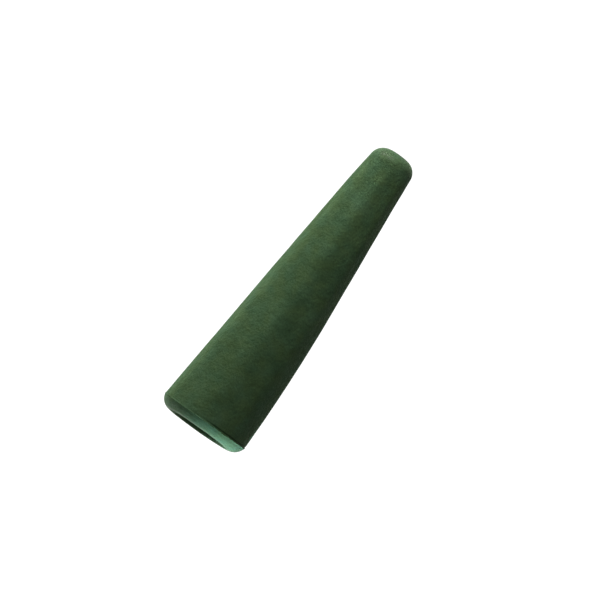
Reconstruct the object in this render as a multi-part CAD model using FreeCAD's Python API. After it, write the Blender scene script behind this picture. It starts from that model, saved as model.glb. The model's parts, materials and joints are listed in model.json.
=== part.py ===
"""Tail rubber: the soft tapered sleeve that is pushed over the tail of a fishing lead clip.

It is one moulding, open from end to end. The wide mouth leads into a socket that grips the clip,
the bore then tapers, and a narrow hole lets the line out through the rounded nose. It stands on its
mouth: the origin is on the sleeve's axis in the plane of the mouth's foremost edge, and +Z runs
along the axis from the mouth to the nose.
"""

import FreeCAD, Part
import math
import os

# Outside, in millimetres. Distances along the sleeve start at the mouth's foremost edge, so they
# are heights above the table.
LENGTH = 25.0
MOUTH_DIAMETER = 7.1  # at the parting line, where the sleeve is widest
PARTING_LINE_AT = 0.8  # the mould's two halves meet here, between the body and the mouth's lip
LIP_RADIUS = 1.0  # rounds the mouth's lip from the parting line to its foremost edge
BODY_ARC_RADIUS = 295.0  # the body bulges this gently from the parting line to the shoulder
SHOULDER_AT = 13.7  # from here to the nose the taper is straight
TAPER_ANGLE = 5.1  # degrees each side, along that straight stretch
NOSE_RADIUS = 1.1  # rounds the nose from the taper to the line hole's rim

# The witness of the mould's parting line: a fine raised thread of rubber right round the mouth.
WITNESS_WIDTH = 0.10
WITNESS_HEIGHT = 0.025

# Inside.
SOCKET_DIAMETER = 4.6
SOCKET_DEPTH = 6.2
LINE_HOLE_DIAMETER = 1.1
LINE_HOLE_LENGTH = 6.0

NODE = "tail_rubber"


def section_point(radius, along):
    """A point of the sleeve's half-section: its distance from the axis and along it."""
    return FreeCAD.Vector(radius, 0, along)


def line(start, end):
    return Part.LineSegment(start, end).toShape()


def arc_about(centre, radius, start_angle, end_angle):
    """An arc of the half-section. An angle of 0 faces away from the axis, and 90 towards the nose."""

    def at(angle):
        turn = math.radians(angle)
        return centre + section_point(radius * math.cos(turn), radius * math.sin(turn))

    return Part.Arc(at(start_angle), at((start_angle + end_angle) / 2), at(end_angle)).toShape()


def start_of(edge):
    return edge.valueAt(edge.FirstParameter)


def end_of(edge):
    return edge.valueAt(edge.LastParameter)


def body_arc():
    """The bulging outside of the body, from the shoulder forward to the witness line.

    The arc runs smoothly into the taper at the shoulder, and is as wide as the mouth's diameter
    at the parting line.
    """
    centre_along = SHOULDER_AT - BODY_ARC_RADIUS * math.sin(math.radians(TAPER_ANGLE))
    angle_at_parting = math.asin((PARTING_LINE_AT - centre_along) / BODY_ARC_RADIUS)
    centre_radius = MOUTH_DIAMETER / 2 - BODY_ARC_RADIUS * math.cos(angle_at_parting)
    centre = section_point(centre_radius, centre_along)
    angle_at_witness = math.asin(
        (PARTING_LINE_AT + WITNESS_WIDTH / 2 - centre_along) / BODY_ARC_RADIUS
    )
    return arc_about(centre, BODY_ARC_RADIUS, TAPER_ANGLE, math.degrees(angle_at_witness))


def nose_arc(shoulder):
    """The rounded nose, from the line hole's rim out to where it meets the taper smoothly."""
    taper = math.radians(TAPER_ANGLE)
    centre_along = LENGTH - NOSE_RADIUS
    taper_radius = shoulder.x - (centre_along - shoulder.z) * math.tan(taper)
    centre = section_point(taper_radius - NOSE_RADIUS / math.cos(taper), centre_along)
    return centre, arc_about(centre, NOSE_RADIUS, 90, TAPER_ANGLE)


def lip_arc():
    """The mouth's lip, from its foremost edge out to the witness line."""
    lip_along = PARTING_LINE_AT - WITNESS_WIDTH / 2
    angle_at_parting = math.degrees(math.asin((PARTING_LINE_AT - LIP_RADIUS) / LIP_RADIUS))
    angle_at_witness = math.degrees(math.asin((lip_along - LIP_RADIUS) / LIP_RADIUS))
    centre_radius = MOUTH_DIAMETER / 2 - LIP_RADIUS * math.cos(math.radians(angle_at_parting))
    centre = section_point(centre_radius, LIP_RADIUS)
    return centre, arc_about(centre, LIP_RADIUS, -90, angle_at_witness)


def sleeve_section():
    """The closed half-section, as edges in order round the rubber, and where each bore's wall
    stops short of the sleeve's end: at the mouth's rounded rim and at the line hole's."""
    socket_radius = SOCKET_DIAMETER / 2
    hole_radius = LINE_HOLE_DIAMETER / 2

    body = body_arc()
    shoulder = start_of(body)
    nose_centre, nose = nose_arc(shoulder)
    lip_centre, lip = lip_arc()

    hole_rim = nose_centre.x - hole_radius
    hole_rim_centre = section_point(nose_centre.x, LENGTH - hole_rim)
    mouth_rim = lip_centre.x - socket_radius
    mouth_rim_centre = section_point(lip_centre.x, mouth_rim)

    socket_end = section_point(socket_radius, SOCKET_DEPTH)
    hole_start = section_point(hole_radius, LENGTH - LINE_HOLE_LENGTH)
    witness_top = section_point(MOUTH_DIAMETER / 2 + WITNESS_HEIGHT, PARTING_LINE_AT)
    edges = [
        arc_about(mouth_rim_centre, mouth_rim, -90, -180),
        line(section_point(socket_radius, mouth_rim), socket_end),
        line(socket_end, hole_start),
        line(hole_start, section_point(hole_radius, LENGTH - hole_rim)),
        arc_about(hole_rim_centre, hole_rim, 180, 90),
        nose,
        line(end_of(nose), shoulder),
        body,
        Part.Arc(end_of(body), witness_top, end_of(lip)).toShape(),
        lip,
    ]
    return edges, mouth_rim, hole_rim


def print_mount(name, along, way_out, wall_length):
    """Prints a mount's place, the way that its mating part leaves, and its wall's length."""
    print(name, "pos_m", [0, 0, round(along * 0.001, 6)], "axis", [0, 0, way_out])
    print(name, "length_mm", round(wall_length, 3))


def main():
    os.makedirs("parts", exist_ok=True)
    edges, mouth_rim, hole_rim = sleeve_section()
    face = Part.Face(Part.Wire(Part.__sortEdges__(edges)))
    solid = Part.Solid(face.revolve(FreeCAD.Vector(), FreeCAD.Vector(0, 0, 1), 360))
    solid.exportStep(os.path.join("parts", NODE + ".step"))

    box = solid.optimalBoundingBox(False)
    print("valid", solid.isValid(), "volume_mm3", round(solid.Volume, 2))
    print("box", [round(v, 3) for v in (box.XMin, box.XMax, box.YMin, box.YMax, box.ZMin, box.ZMax)])
    print_mount("clip_socket", mouth_rim, -1, SOCKET_DEPTH - mouth_rim)
    hole_middle = LENGTH - (LINE_HOLE_LENGTH + hole_rim) / 2
    print_mount("line_hole", hole_middle, 1, LINE_HOLE_LENGTH - hole_rim)


main()
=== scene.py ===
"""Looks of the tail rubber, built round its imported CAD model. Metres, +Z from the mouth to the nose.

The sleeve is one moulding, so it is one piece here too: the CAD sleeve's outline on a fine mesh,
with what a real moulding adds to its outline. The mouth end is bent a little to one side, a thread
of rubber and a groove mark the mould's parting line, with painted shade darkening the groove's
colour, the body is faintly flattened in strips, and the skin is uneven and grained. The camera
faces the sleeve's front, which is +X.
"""

import json
import math

import bpy
import numpy as np
from mathutils import Matrix, Vector, noise


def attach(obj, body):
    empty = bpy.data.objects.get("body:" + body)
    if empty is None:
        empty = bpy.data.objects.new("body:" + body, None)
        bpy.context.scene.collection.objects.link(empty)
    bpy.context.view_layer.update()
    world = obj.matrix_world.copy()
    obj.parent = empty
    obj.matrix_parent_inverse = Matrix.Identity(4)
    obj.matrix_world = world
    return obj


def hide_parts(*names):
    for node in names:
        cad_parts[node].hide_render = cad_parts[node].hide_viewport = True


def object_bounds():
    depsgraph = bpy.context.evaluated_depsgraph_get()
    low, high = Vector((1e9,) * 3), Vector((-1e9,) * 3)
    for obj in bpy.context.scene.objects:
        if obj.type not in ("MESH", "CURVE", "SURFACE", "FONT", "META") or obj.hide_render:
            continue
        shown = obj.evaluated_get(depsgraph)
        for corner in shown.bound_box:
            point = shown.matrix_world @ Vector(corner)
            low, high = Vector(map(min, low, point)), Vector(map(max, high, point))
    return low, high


MM = 0.001

# The sleeve's outline, in millimetres, as in the CAD model. Distances run from the mouth's
# foremost edge towards the nose.
LENGTH = 25.0
MOUTH_DIAMETER = 7.1
PARTING_LINE_AT = 0.8
LIP_RADIUS = 1.0
BODY_ARC_RADIUS = 295.0
SHOULDER_AT = 13.7
TAPER_ANGLE = math.radians(5.1)
NOSE_RADIUS = 1.1
WITNESS_WIDTH = 0.10
WITNESS_HEIGHT = 0.025
SOCKET_DIAMETER = 4.6
SOCKET_DEPTH = 6.2
LINE_HOLE_DIAMETER = 1.1
LINE_HOLE_LENGTH = 6.0

# What the moulding adds, in millimetres.
BEND = 0.28  # the mouth is bent this far to the left of the rest of the sleeve
BEND_FROM = 12.1  # where the bend starts
BEND_LEAN = 0.13  # the whole sleeve leans this far to the right at the mouth, to stay in the CAD's box
NOSE_BEND = 0.075  # the nose is bent this far to the right
NOSE_BEND_FROM = 20.0
MOUTH_SKEW = 0.0085  # the mouth's face is out of square by this much for each millimetre across it
MOUTH_SKEW_REACH = 5.0  # how far from the mouth the skew fades out
PARTING_LEAN = 0.25  # the parting line is this much nearer to the mouth in front than at the sides
PARTING_LEAN_REACH = 3.0  # how far past the line the body still shows that lean
SEAM_WIDTH = 0.16  # a shallow groove beside the parting line, on the right side of the body, its colour darkened as painted shade
SEAM_DEPTH = 0.035
SEAM_FADE = (-0.15, 0.25)  # it starts and is full here, as sines of the turn from front to right
NOSE_SMOOTHNESS = 1.5  # times the lip's
NOSE_SMOOTH_FROM = 1.3 * NOSE_RADIUS  # this far from the nose's end, and full a radius further on
RIM_SMOOTHNESS = 3.0  # of the mouth's foremost edge, times the lip's
RIM_WIDTH = 0.12  # this far from that edge it has faded to the lip's
FLATS = 8  # the body is faintly flattened in this many strips along it
FLATS_HEIGHT = 0.07  # how far the ridges between them stand above the middles
FLATS_RIDGES = 0.25  # the share of that by which the ridges stand above the round outline
FLATS_TURN = (-9.0, 4.0)  # degrees from the front to the first ridge, at the mouth and at the nose
FLATS_FADE = (1.6, 1.5)  # they fade out over these lengths at the parting line and at the nose
SKIN_WAVES = ((1.9, 0.010), (0.8, 0.005), (0.38, 0.0022))  # wavelength and height of each

# The mesh.
COLUMNS = 200  # round the sleeve
LIP_RINGS = 34
THREAD_RINGS = 7  # over the parting line's thread of rubber
SEAM_RINGS = 14  # over the groove beside it, and as far again
BODY_RINGS = 180
NOSE_RINGS = 24
RIM_RINGS = 9  # round each bore's rim
INSIDE_RINGS = 26  # along the socket and the line hole, and twice as many between them

# The rubber. Each noise has the distance between its lumps in millimetres, its detail and its
# roughness. Each set of stops gives colours over a noise or a mark, and the colours of those after
# the greens multiply them.
MOTTLE = (1.6, 4.0, 0.6)
GREENS = (
    (0.30, (0.037, 0.071, 0.030)),
    (0.50, (0.044, 0.083, 0.036)),
    (0.72, (0.054, 0.098, 0.045)),
)
HUE = (1.1, 1.0, 0.5)
HUE_STOPS = ((0.35, (1.05, 1.0, 0.93)), (0.65, (0.95, 1.0, 1.07)))
SPECKLE = (0.12, 1.0, 0.5)
SPECKLE_STOPS = ((0.30, (0.88, 0.88, 0.88)), (0.70, (1.12, 1.12, 1.12)))
# painted shade: how far the groove's colour is darkened over its mark
SEAM_SHADE_STOPS = ((0.1, (1.0, 1.0, 1.0)), (0.8, (0.35, 0.45, 0.40)))
GLOSS = (0.5, 2.0, 0.5)
ROUGHNESS = (0.60, 0.80)
SPECULAR_LEVEL = 0.04
SHEEN_WEIGHT = 0.14  # the skin scatters more light at a flat angle
SHEEN_ROUGHNESS = 0.30
SHEEN_TINT = (0.50, 0.85, 0.45)
COAT_WEIGHT = 0.1  # the shine of the lip
COAT_ROUGHNESS = 0.35
FINE_GRAIN = (0.16, 3.0, 0.6)
COARSE_GRAIN = (0.45, 2.0, 0.5)
FINE_GRAIN_SHARE = 0.65  # times the coarse grain's height
GRAIN_HEIGHT = 0.17
GRAIN_STRENGTH = 0.5

# The studio is laid out by three directions from the sleeve: to its mouth, right side and front.
TO_MOUTH = Vector((0, 0, -1))
TO_RIGHT = Vector((0, 1, 0))
TO_FRONT = Vector((1, 0, 0))
STUDIO = Matrix((TO_MOUTH, TO_RIGHT, TO_FRONT)).transposed()

# The camera looks at the sleeve's front through a long lens, and a little into its mouth.
CAMERA_DISTANCE = 0.45
VIEW_TILT = math.radians(4.8)  # it looks from this far below level
CAMERA_ROLL = math.radians(125.772)
FIELD_WIDTH = 0.04405  # what the picture shows from side to side, at the sleeve
SLEEVE_ABOVE_CENTRE = 0.00054  # how far the sleeve's middle is above the picture's
SLEEVE_LEFT_OF_CENTRE = 0.00006
CAMERA_CLIP = (0.01, 10.0)  # it sees nothing nearer or farther
SENSOR_WIDTH = 36.0  # in millimetres, as the lens is

# The white floor and backdrop, and the world round them.
SHEET_SIDE = 3.0
SHEET_GREY = 0.05  # nearly all of a sheet's white is its own glow
FLOOR_BELOW = 0.045  # the floor is this far below the mouth, to leave room for the low camera
SEEN_WHITE = 1.15  # of the floor and the world as the camera sees them, past the picture's white
BACKDROP_WHITE = 1.0
AMBIENT = 0.08  # the world's even light on the sleeve

# Each light: where it stands as seen from the sleeve (degrees round from the mouth to the right
# side, and degrees to the front), its distance and side in metres, its strength, and its colour.
WHITE = (1.0, 1.0, 1.0)
LIGHTS = {
    "low_key": (224, 2, 0.15, 0.055, 1.02, WHITE),
    "nose_side": (202, 26, 0.055, 0.02, 0.72, WHITE),
    "front": (0, 90, 0.40, 0.14, 0.24, WHITE),
    "mouth_side": (4, -3, 0.40, 0.14, 0.24, WHITE),
    "back_glow": (255, -45, 0.40, 0.14, 0.5, WHITE),
    "mouth_glow": (315, -40, 0.40, 0.14, 0.7, (0.9, 1.0, 1.0)),
}
# These light the rubber without showing in its shine.
NO_SHINE = ("mouth_side", "back_glow", "mouth_glow")

# A narrow bluish beam from below the mouth, on the right side of the lip.
BEAM_FROM = (1, 1.5)  # degrees, as for the lights
BEAM_DISTANCE = 0.25
BEAM_RIGHT_OF_AXIS = 3.1 * MM
BEAM_BEFORE_AXIS = 2.2 * MM
BEAM_WIDTH = 7.0 * MM
BEAM_STRENGTH = 8.6
BEAM_SOFTNESS = 2.7 * MM
BEAM_FADE = 0.9  # the share of its width over which it fades
BEAM_COLOUR = (0.52, 0.68, 1.0)


def clamped(value):
    """The value, held between 0 and 1."""
    return min(max(value, 0), 1)


def arc_points(centre, radius, start, end, count):
    """Points (radius, along) on an arc. An angle of 0 faces outwards, and 90 degrees the nose."""
    turn = np.radians(np.linspace(start, end, count))
    return np.stack([centre[0] + radius * np.cos(turn), centre[1] + radius * np.sin(turn)], 1)


def straight_points(start, end, count):
    """Points between two corners of the outline, without the corners themselves."""
    share = np.linspace(0, 1, count + 2)[1:-1, None]
    return np.array(start) * (1 - share) + np.array(end) * share


def body_radius(along):
    """The outside radius of the body: a gentle bulge as far as the shoulder, then a straight taper."""
    bulge_along = SHOULDER_AT - BODY_ARC_RADIUS * math.sin(TAPER_ANGLE)
    at_parting = math.asin((PARTING_LINE_AT - bulge_along) / BODY_ARC_RADIUS)
    bulge_radius = MOUTH_DIAMETER / 2 - BODY_ARC_RADIUS * math.cos(at_parting)
    on_arc = np.minimum(along, SHOULDER_AT)
    arc = bulge_radius + np.sqrt(BODY_ARC_RADIUS**2 - (on_arc - bulge_along) ** 2)
    return arc - np.maximum(along - SHOULDER_AT, 0) * math.tan(TAPER_ANGLE)


def lip_centre():
    """The centre (radius, along) of the arc that rounds the mouth's lip."""
    parting_angle = math.asin((PARTING_LINE_AT - LIP_RADIUS) / LIP_RADIUS)
    return MOUTH_DIAMETER / 2 - LIP_RADIUS * math.cos(parting_angle), LIP_RADIUS


def nose_centre():
    """The centre (radius, along) of the arc that rounds the nose."""
    along = LENGTH - NOSE_RADIUS
    return body_radius(along) - NOSE_RADIUS / math.cos(TAPER_ANGLE), along


def lip_points():
    """From the mouth's foremost edge out to the parting line's thread of rubber."""
    thread_edge = PARTING_LINE_AT - WITNESS_WIDTH / 2
    end_angle = math.degrees(math.asin((thread_edge - LIP_RADIUS) / LIP_RADIUS))
    return arc_points(lip_centre(), LIP_RADIUS, -90, end_angle, LIP_RINGS)


def thread_points():
    """Over the thread of rubber, without its two edges."""
    across = np.linspace(-1, 1, THREAD_RINGS + 2)[1:-1]
    radius = MOUTH_DIAMETER / 2 + WITNESS_HEIGHT * np.cos(across * math.pi / 2)
    return np.stack([radius, PARTING_LINE_AT + across * WITNESS_WIDTH / 2], 1)


def body_points(end):
    """Along the body until just before its end at the nose, and closer together at the groove."""
    start = PARTING_LINE_AT + WITNESS_WIDTH / 2
    past_groove = start + 2 * SEAM_WIDTH
    groove = np.linspace(start, past_groove, SEAM_RINGS)[:-1]
    along = np.concatenate([groove, np.linspace(past_groove, end, BODY_RINGS)[:-1]])
    return np.stack([body_radius(along), along], 1)


def inside_points():
    """From the nose back through the line hole, the tapering bore and the socket to the mouth."""
    nose_radius, _ = nose_centre()
    lip_radius, _ = lip_centre()
    hole = LINE_HOLE_DIAMETER / 2
    socket = SOCKET_DIAMETER / 2
    hole_rim = nose_radius - hole
    mouth_rim = lip_radius - socket
    hole_arc = arc_points((nose_radius, LENGTH - hole_rim), hole_rim, 90, 180, RIM_RINGS)[1:]
    mouth_arc = arc_points((lip_radius, mouth_rim), mouth_rim, 180, 270, RIM_RINGS)[:-1]
    hole_end = (hole, LENGTH - LINE_HOLE_LENGTH)
    socket_end = (socket, SOCKET_DEPTH)
    return np.concatenate(
        [
            hole_arc,
            straight_points(hole_arc[-1], hole_end, INSIDE_RINGS),
            [hole_end],
            straight_points(hole_end, socket_end, INSIDE_RINGS * 2),
            [socket_end],
            straight_points(socket_end, mouth_arc[0], INSIDE_RINGS),
            mouth_arc,
        ]
    )


def outline():
    """The half-section as a closed loop of (radius, along) points, from the mouth's foremost edge
    over the outside to the nose, and back through the inside. Also how many of them, from the
    start, come before the nose and before its hole."""
    nose = arc_points(nose_centre(), NOSE_RADIUS, math.degrees(TAPER_ANGLE), 90, NOSE_RINGS)
    sides = np.concatenate([lip_points(), thread_points(), body_points(nose[0, 1])])
    section = np.concatenate([sides, nose, inside_points()])
    return section, len(sides), len(sides) + len(nose)


def section_normals(section):
    """The way out of the rubber (outwards, along) at each point of the half-section."""
    following = np.roll(section, -1, 0) - np.roll(section, 1, 0)
    normals = np.stack([following[:, 1], -following[:, 0]], 1)
    return normals / np.linalg.norm(normals, axis=1)[:, None]


def sideways_bend(along):
    """How far the sleeve's middle is out of line to the right, in millimetres."""
    mouth_end = np.maximum(BEND_FROM - along, 0) / BEND_FROM
    nose_end = np.maximum(along - NOSE_BEND_FROM, 0) / (LENGTH - NOSE_BEND_FROM)
    lean = BEND_LEAN * (1 - along / LENGTH)
    return lean - BEND * mouth_end**2 + NOSE_BEND * nose_end**2


def mouth_from_frame(frame, node):
    """The point where the sleeve's axis leaves its mouth, level with the mouth's foremost edge."""
    socket = next(m for m in frame["record"]["mounts"] if m["name"] == "clip_socket")
    on_axis = Vector(socket["pos_m"])
    vertices = frame["nodes"][node].data.vertices
    foremost = max((v.co - on_axis).dot(TO_MOUTH) for v in vertices)
    return on_axis + TO_MOUTH * foremost


def skin_height(point):
    """How far the moulded skin stands proud at a point, both in millimetres."""
    return sum(height * noise.noise(point / wavelength) for wavelength, height in SKIN_WAVES)


def flats_height(turn, along):
    """How far the body stands above its round outline because of the flattened strips."""
    first, last = np.radians(FLATS_TURN)
    ridge = first + (last - first) * along / LENGTH
    fade_in = clamped((along - PARTING_LINE_AT) / FLATS_FADE[0])
    fade_out = clamped((LENGTH - NOSE_RADIUS - along) / FLATS_FADE[1])
    wave = 0.5 * math.cos(FLATS * (turn - ridge)) - 0.5 + FLATS_RIDGES
    return FLATS_HEIGHT * wave * fade_in * fade_out


def seam_share(turn, along):
    """1 in the middle of the groove beside the parting line, and 0 outside it. It sinks the groove,
    and darkens the groove's colour as painted shade.
    """
    middle = PARTING_LINE_AT + (WITNESS_WIDTH + SEAM_WIDTH) / 2
    off_middle = min(abs(along - middle) / (SEAM_WIDTH / 2), 1)
    start, full = SEAM_FADE
    right_side = clamped((math.sin(turn) - start) / (full - start))
    return (0.5 + 0.5 * math.cos(math.pi * off_middle)) * right_side


def smooth_share(along):
    """How smooth the skin is: 1 on the lip, more on its rim and on the nose, and 0 on the body."""
    if along < PARTING_LINE_AT - WITNESS_WIDTH / 2:
        return 1 + (RIM_SMOOTHNESS - 1) * clamped(1 - along / RIM_WIDTH)
    return clamped((along - LENGTH + NOSE_SMOOTH_FROM) / NOSE_RADIUS) * NOSE_SMOOTHNESS


def lengthways_shift(across, facing, along, outside):
    """How far a point is further from the mouth than on a true body of revolution, in millimetres.

    The mouth's face and the parting line aren't quite square to the axis. across is the point's
    distance to the right of the axis, and facing runs from -1 at the back to 1 in front.
    """
    near_mouth = max(1 - along / MOUTH_SKEW_REACH, 0)
    shift = MOUTH_SKEW * across * near_mouth**2
    if outside:
        reach = clamped(1 - (along - PARTING_LINE_AT) / PARTING_LEAN_REACH)
        shift -= PARTING_LEAN * facing * min(along / PARTING_LINE_AT, 1) * reach**2
    return shift


def ring_faces(rings):
    """The faces between each ring of points and the next, and from the last ring to the first."""
    faces = []
    for ring in range(rings):
        this = ring * COLUMNS
        after = (ring + 1) % rings * COLUMNS
        for column in range(COLUMNS):
            beside = (column + 1) % COLUMNS
            faces.append((this + column, after + column, after + beside, this + beside))
    return faces


def add_object(name, data):
    """A new object in the scene, which shows that mesh, light or camera."""
    added = bpy.data.objects.new(name, data)
    bpy.context.scene.collection.objects.link(added)
    return added


def build_sleeve(mouth):
    """The sleeve's mesh: the outline revolved round the CAD sleeve's own axis."""
    section, outside_rings, smooth_rings = outline()
    normals = section_normals(section)
    bend = sideways_bend(section[:, 1])

    vertices = []
    smooth_marks = []
    seam_marks = []
    for ring, ((radius, along), (out, ahead)) in enumerate(zip(section, normals)):
        outside = ring < outside_rings
        for column in range(COLUMNS):
            turn = 2 * math.pi * column / COLUMNS
            across, facing = math.sin(turn), math.cos(turn)
            radial = TO_RIGHT * across + TO_FRONT * facing
            further = along + lengthways_shift(across * radius, facing, along, outside)
            seam = seam_share(turn, along) if outside else 0
            proud = flats_height(turn, along) - SEAM_DEPTH * seam if outside else 0
            point = radial * (radius + proud) - TO_MOUTH * further
            point += (radial * out - TO_MOUTH * ahead) * skin_height(point)
            vertices.append(mouth + (point + TO_RIGHT * bend[ring]) * MM)
            smooth_marks.append(smooth_share(along) if ring < smooth_rings else 0)
            seam_marks.append(seam)

    mesh = bpy.data.meshes.new("tail_rubber_moulding")
    mesh.from_pydata(vertices, [], ring_faces(len(section)))
    mesh.shade_smooth()
    for name, marks in (("smooth", smooth_marks), ("seam", seam_marks)):
        mesh.attributes.new(name, "FLOAT", "POINT").data.foreach_set("value", marks)
    mesh.validate()
    mesh.update()
    return add_object("tail_rubber_moulding", mesh)


def new_material(name):
    """A material with only a shader and its output, its nodes and links, and that shader."""
    material = bpy.data.materials.new(name)
    material.use_nodes = True
    nodes = material.node_tree.nodes
    nodes.clear()
    shader = nodes.new("ShaderNodeBsdfPrincipled")
    output = nodes.new("ShaderNodeOutputMaterial")
    material.node_tree.links.new(shader.outputs["BSDF"], output.inputs["Surface"])
    return material, nodes, material.node_tree.links, shader


def noise_node(nodes, links, coordinates, spacing, detail, roughness):
    """A noise texture whose lumps are about that many millimetres apart."""
    node = nodes.new("ShaderNodeTexNoise")
    node.inputs["Scale"].default_value = 1 / (spacing * MM)
    node.inputs["Detail"].default_value = detail
    node.inputs["Roughness"].default_value = roughness
    links.new(coordinates, node.inputs["Vector"])
    return node.outputs["Fac"]


def ramp_node(nodes, links, value, stops):
    """A colour ramp over value, with stops as (position, colour)."""
    node = nodes.new("ShaderNodeValToRGB")
    elements = node.color_ramp.elements
    for element, (position, colour) in zip(elements, (stops[0], stops[-1])):
        element.position = position
        element.color = (*colour, 1)
    for position, colour in stops[1:-1]:
        elements.new(position).color = (*colour, 1)
    links.new(value, node.inputs["Fac"])
    return node.outputs["Color"]


def marked_share(nodes, name):
    """The mesh's own mark of that name."""
    node = nodes.new("ShaderNodeAttribute")
    node.attribute_name = name
    return node.outputs["Fac"]


def multiply_colours(nodes, links, first, second):
    """The two colours multiplied together."""
    node = nodes.new("ShaderNodeMix")
    node.data_type = "RGBA"
    node.blend_type = "MULTIPLY"
    node.inputs["Factor"].default_value = 1.0
    links.new(first, node.inputs[6])
    links.new(second, node.inputs[7])
    return node.outputs[2]


def rubber_colour(nodes, links, coordinates):
    """A mottled green whose hue drifts, with a fine speckle, and painted shade darkening the groove.
    """
    colour = ramp_node(nodes, links, noise_node(nodes, links, coordinates, *MOTTLE), GREENS)
    changes = (
        (noise_node(nodes, links, coordinates, *HUE), HUE_STOPS),
        (noise_node(nodes, links, coordinates, *SPECKLE), SPECKLE_STOPS),
        # painted shade, darkening the colour in the groove beside the parting line
        (marked_share(nodes, "seam"), SEAM_SHADE_STOPS),
    )
    for value, stops in changes:
        colour = multiply_colours(nodes, links, colour, ramp_node(nodes, links, value, stops))
    return colour


def rubber_roughness(nodes, links, coordinates):
    """A roughness that varies a little over the skin."""
    node = nodes.new("ShaderNodeMapRange")
    node.inputs["To Min"].default_value, node.inputs["To Max"].default_value = ROUGHNESS
    links.new(noise_node(nodes, links, coordinates, *GLOSS), node.inputs["Value"])
    return node.outputs["Result"]


def rubber_coat(nodes, links):
    """The weight of the shine on the smoother lip and nose."""
    node = nodes.new("ShaderNodeMath")
    node.operation = "MULTIPLY"
    node.inputs[1].default_value = COAT_WEIGHT
    links.new(marked_share(nodes, "smooth"), node.inputs[0])
    return node.outputs["Value"]


def rubber_grain(nodes, links, coordinates):
    """The normal of the moulded grain, a fine one over a coarse one."""
    height = nodes.new("ShaderNodeMath")
    height.operation = "MULTIPLY_ADD"
    height.inputs[1].default_value = FINE_GRAIN_SHARE
    links.new(noise_node(nodes, links, coordinates, *FINE_GRAIN), height.inputs[0])
    links.new(noise_node(nodes, links, coordinates, *COARSE_GRAIN), height.inputs[2])
    bump = nodes.new("ShaderNodeBump")
    bump.inputs["Strength"].default_value = GRAIN_STRENGTH
    bump.inputs["Distance"].default_value = GRAIN_HEIGHT * MM
    links.new(height.outputs["Value"], bump.inputs["Height"])
    return bump.outputs["Normal"]


def rubber_material():
    """Matt green rubber with a fine moulded grain, a little shinier on the lip and the nose."""
    material, nodes, links, shader = new_material("green_rubber")
    coordinates = nodes.new("ShaderNodeTexCoord").outputs["Object"]
    links.new(rubber_colour(nodes, links, coordinates), shader.inputs["Base Color"])
    links.new(rubber_roughness(nodes, links, coordinates), shader.inputs["Roughness"])
    links.new(rubber_coat(nodes, links), shader.inputs["Coat Weight"])
    links.new(rubber_grain(nodes, links, coordinates), shader.inputs["Normal"])
    shader.inputs["Specular IOR Level"].default_value = SPECULAR_LEVEL
    shader.inputs["Sheen Weight"].default_value = SHEEN_WEIGHT
    shader.inputs["Sheen Roughness"].default_value = SHEEN_ROUGHNESS
    shader.inputs["Sheen Tint"].default_value = (*SHEEN_TINT, 1)
    shader.inputs["Coat Roughness"].default_value = COAT_ROUGHNESS
    return material


def white_material(name, strength):
    """The white of a plain sheet, which glows with that strength."""
    material, _, _, shader = new_material(name)
    shader.inputs["Base Color"].default_value = (SHEET_GREY, SHEET_GREY, SHEET_GREY, 1)
    shader.inputs["Specular IOR Level"].default_value = 0.0
    shader.inputs["Emission Color"].default_value = (*WHITE, 1)
    shader.inputs["Emission Strength"].default_value = strength
    return material


def make_white_sheet(name, strength, middle, first_edge, second_edge):
    """A plain white square sheet that throws no light at the sleeve and takes none from it."""
    half = SHEET_SIDE / 2
    corners = [
        middle + (first_edge * first + second_edge * second) * half
        for first, second in ((-1, -1), (1, -1), (1, 1), (-1, 1))
    ]
    mesh = bpy.data.meshes.new(name)
    mesh.from_pydata(corners, [], [(0, 1, 2, 3)])
    mesh.materials.append(white_material("white_" + name, strength))
    sheet = add_object(name, mesh)
    sheet.visible_diffuse = False
    sheet.visible_shadow = False
    return sheet


def make_floor_and_backdrop(mouth, back):
    """A floor for the camera to see, and a backdrop, that far behind the axis, which shows only in
    the sleeve's shine."""
    below = mouth + TO_MOUTH * FLOOR_BELOW
    floor = make_white_sheet("floor", SEEN_WHITE, below, TO_FRONT, TO_RIGHT)
    floor.visible_glossy = False
    behind = mouth - TO_FRONT * back
    backdrop = make_white_sheet("backdrop", BACKDROP_WHITE, behind, TO_RIGHT, TO_MOUTH)
    backdrop.visible_camera = False


def studio_way(around, frontwards):
    """The way from the sleeve in the studio's own directions, from the two angles in degrees."""
    turn, rise = math.radians(around), math.radians(frontwards)
    return Vector(
        (math.cos(turn) * math.cos(rise), math.sin(turn) * math.cos(rise), math.sin(rise))
    )


def place_light(name, data, way, target, distance, shines):
    """Puts a light that far from the target along the way, facing it."""
    light = add_object(name, data)
    light.location = target + STUDIO @ way * distance
    light.rotation_euler = (STUDIO @ way.to_track_quat("Z", "Y").to_matrix()).to_euler()
    light.visible_camera = False
    light.visible_glossy = shines


def make_lights(centre):
    """The soft square lights, aimed at the sleeve's middle."""
    for name, (around, frontwards, distance, side, strength, colour) in LIGHTS.items():
        data = bpy.data.lights.new(name, "AREA")
        data.shape = "SQUARE"
        data.size = side
        # strength is what a white surface that faces the light sends back, with 1 as white
        data.energy = strength * math.pi * distance**2 * math.pi
        data.color = colour
        way = studio_way(around, frontwards)
        place_light(name, data, way, centre, distance, name not in NO_SHINE)


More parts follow.
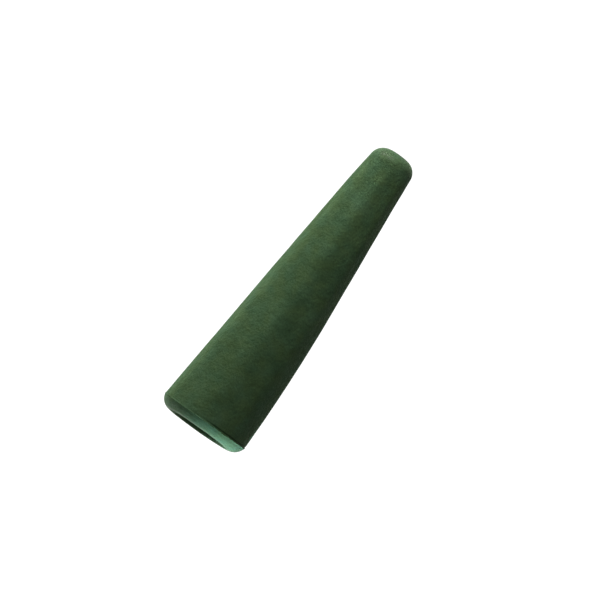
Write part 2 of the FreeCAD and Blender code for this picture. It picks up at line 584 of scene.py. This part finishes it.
def make_beam(mouth):
    """The narrow beam, aimed at the right side of the lip."""
    data = bpy.data.lights.new("mouth_beam", "SPOT")
    # a spot of this power gives the strength that the area lights are measured in
    data.energy = BEAM_STRENGTH * math.pi * BEAM_DISTANCE**2 * 4 * math.pi
    data.color = BEAM_COLOUR
    data.spot_size = 2 * math.atan(BEAM_WIDTH / 2 / BEAM_DISTANCE)
    data.spot_blend = BEAM_FADE
    data.shadow_soft_size = BEAM_SOFTNESS
    target = mouth + TO_RIGHT * BEAM_RIGHT_OF_AXIS + TO_FRONT * BEAM_BEFORE_AXIS
    place_light("mouth_beam", data, studio_way(*BEAM_FROM), target, BEAM_DISTANCE, False)


def white_background(nodes, strength):
    """Even white light of that strength, from all round."""
    node = nodes.new("ShaderNodeBackground")
    node.inputs["Color"].default_value = (*WHITE, 1)
    node.inputs["Strength"].default_value = strength
    return node.outputs["Background"]


def make_world():
    """White to the camera, and a faint even light on the sleeve."""
    world = bpy.data.worlds.new("studio")
    bpy.context.scene.world = world
    world.use_nodes = True
    nodes = world.node_tree.nodes
    links = world.node_tree.links
    nodes.clear()
    path = nodes.new("ShaderNodeLightPath")
    mix = nodes.new("ShaderNodeMixShader")
    output = nodes.new("ShaderNodeOutputWorld")
    links.new(path.outputs["Is Camera Ray"], mix.inputs["Fac"])
    links.new(white_background(nodes, AMBIENT), mix.inputs[1])
    links.new(white_background(nodes, SEEN_WHITE), mix.inputs[2])
    links.new(mix.outputs["Shader"], output.inputs["Surface"])


def make_camera(centre):
    """In front of the sleeve, rolled so that the nose points to the picture's upper right."""
    data = bpy.data.cameras.new("camera")
    data.sensor_width = SENSOR_WIDTH
    data.lens = SENSOR_WIDTH * CAMERA_DISTANCE / FIELD_WIDTH
    data.clip_start, data.clip_end = CAMERA_CLIP
    camera = add_object("camera", data)
    back = TO_MOUTH * math.sin(VIEW_TILT) + TO_FRONT * math.cos(VIEW_TILT)
    mouthwards = TO_MOUTH * math.cos(VIEW_TILT) - TO_FRONT * math.sin(VIEW_TILT)
    right = mouthwards * math.cos(CAMERA_ROLL) + TO_RIGHT * math.sin(CAMERA_ROLL)
    up = TO_RIGHT * math.cos(CAMERA_ROLL) - mouthwards * math.sin(CAMERA_ROLL)
    aim = centre + right * SLEEVE_LEFT_OF_CENTRE - up * SLEEVE_ABOVE_CENTRE
    camera.location = aim + back * CAMERA_DISTANCE
    camera.rotation_euler = Matrix((right, up, back)).transposed().to_euler()
    bpy.context.scene.camera = camera


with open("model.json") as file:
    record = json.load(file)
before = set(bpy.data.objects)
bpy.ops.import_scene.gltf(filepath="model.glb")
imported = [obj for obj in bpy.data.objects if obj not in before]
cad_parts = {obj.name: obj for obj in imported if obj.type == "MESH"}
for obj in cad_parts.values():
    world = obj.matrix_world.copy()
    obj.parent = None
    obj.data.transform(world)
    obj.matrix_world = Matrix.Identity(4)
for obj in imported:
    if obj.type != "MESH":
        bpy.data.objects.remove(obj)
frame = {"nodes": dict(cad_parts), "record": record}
cad_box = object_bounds()

mouth_point = mouth_from_frame(frame, "tail_rubber")
sleeve = build_sleeve(mouth_point)
sleeve.data.materials.append(rubber_material())
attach(sleeve, "root")
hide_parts("tail_rubber")

sleeve_centre = mouth_point - TO_MOUTH * (LENGTH / 2 * MM)
make_floor_and_backdrop(mouth_point, -cad_box[0].x)
make_lights(sleeve_centre)
make_beam(mouth_point)
make_world()
make_camera(sleeve_centre)
bpy.context.scene.view_settings.view_transform = "Standard"
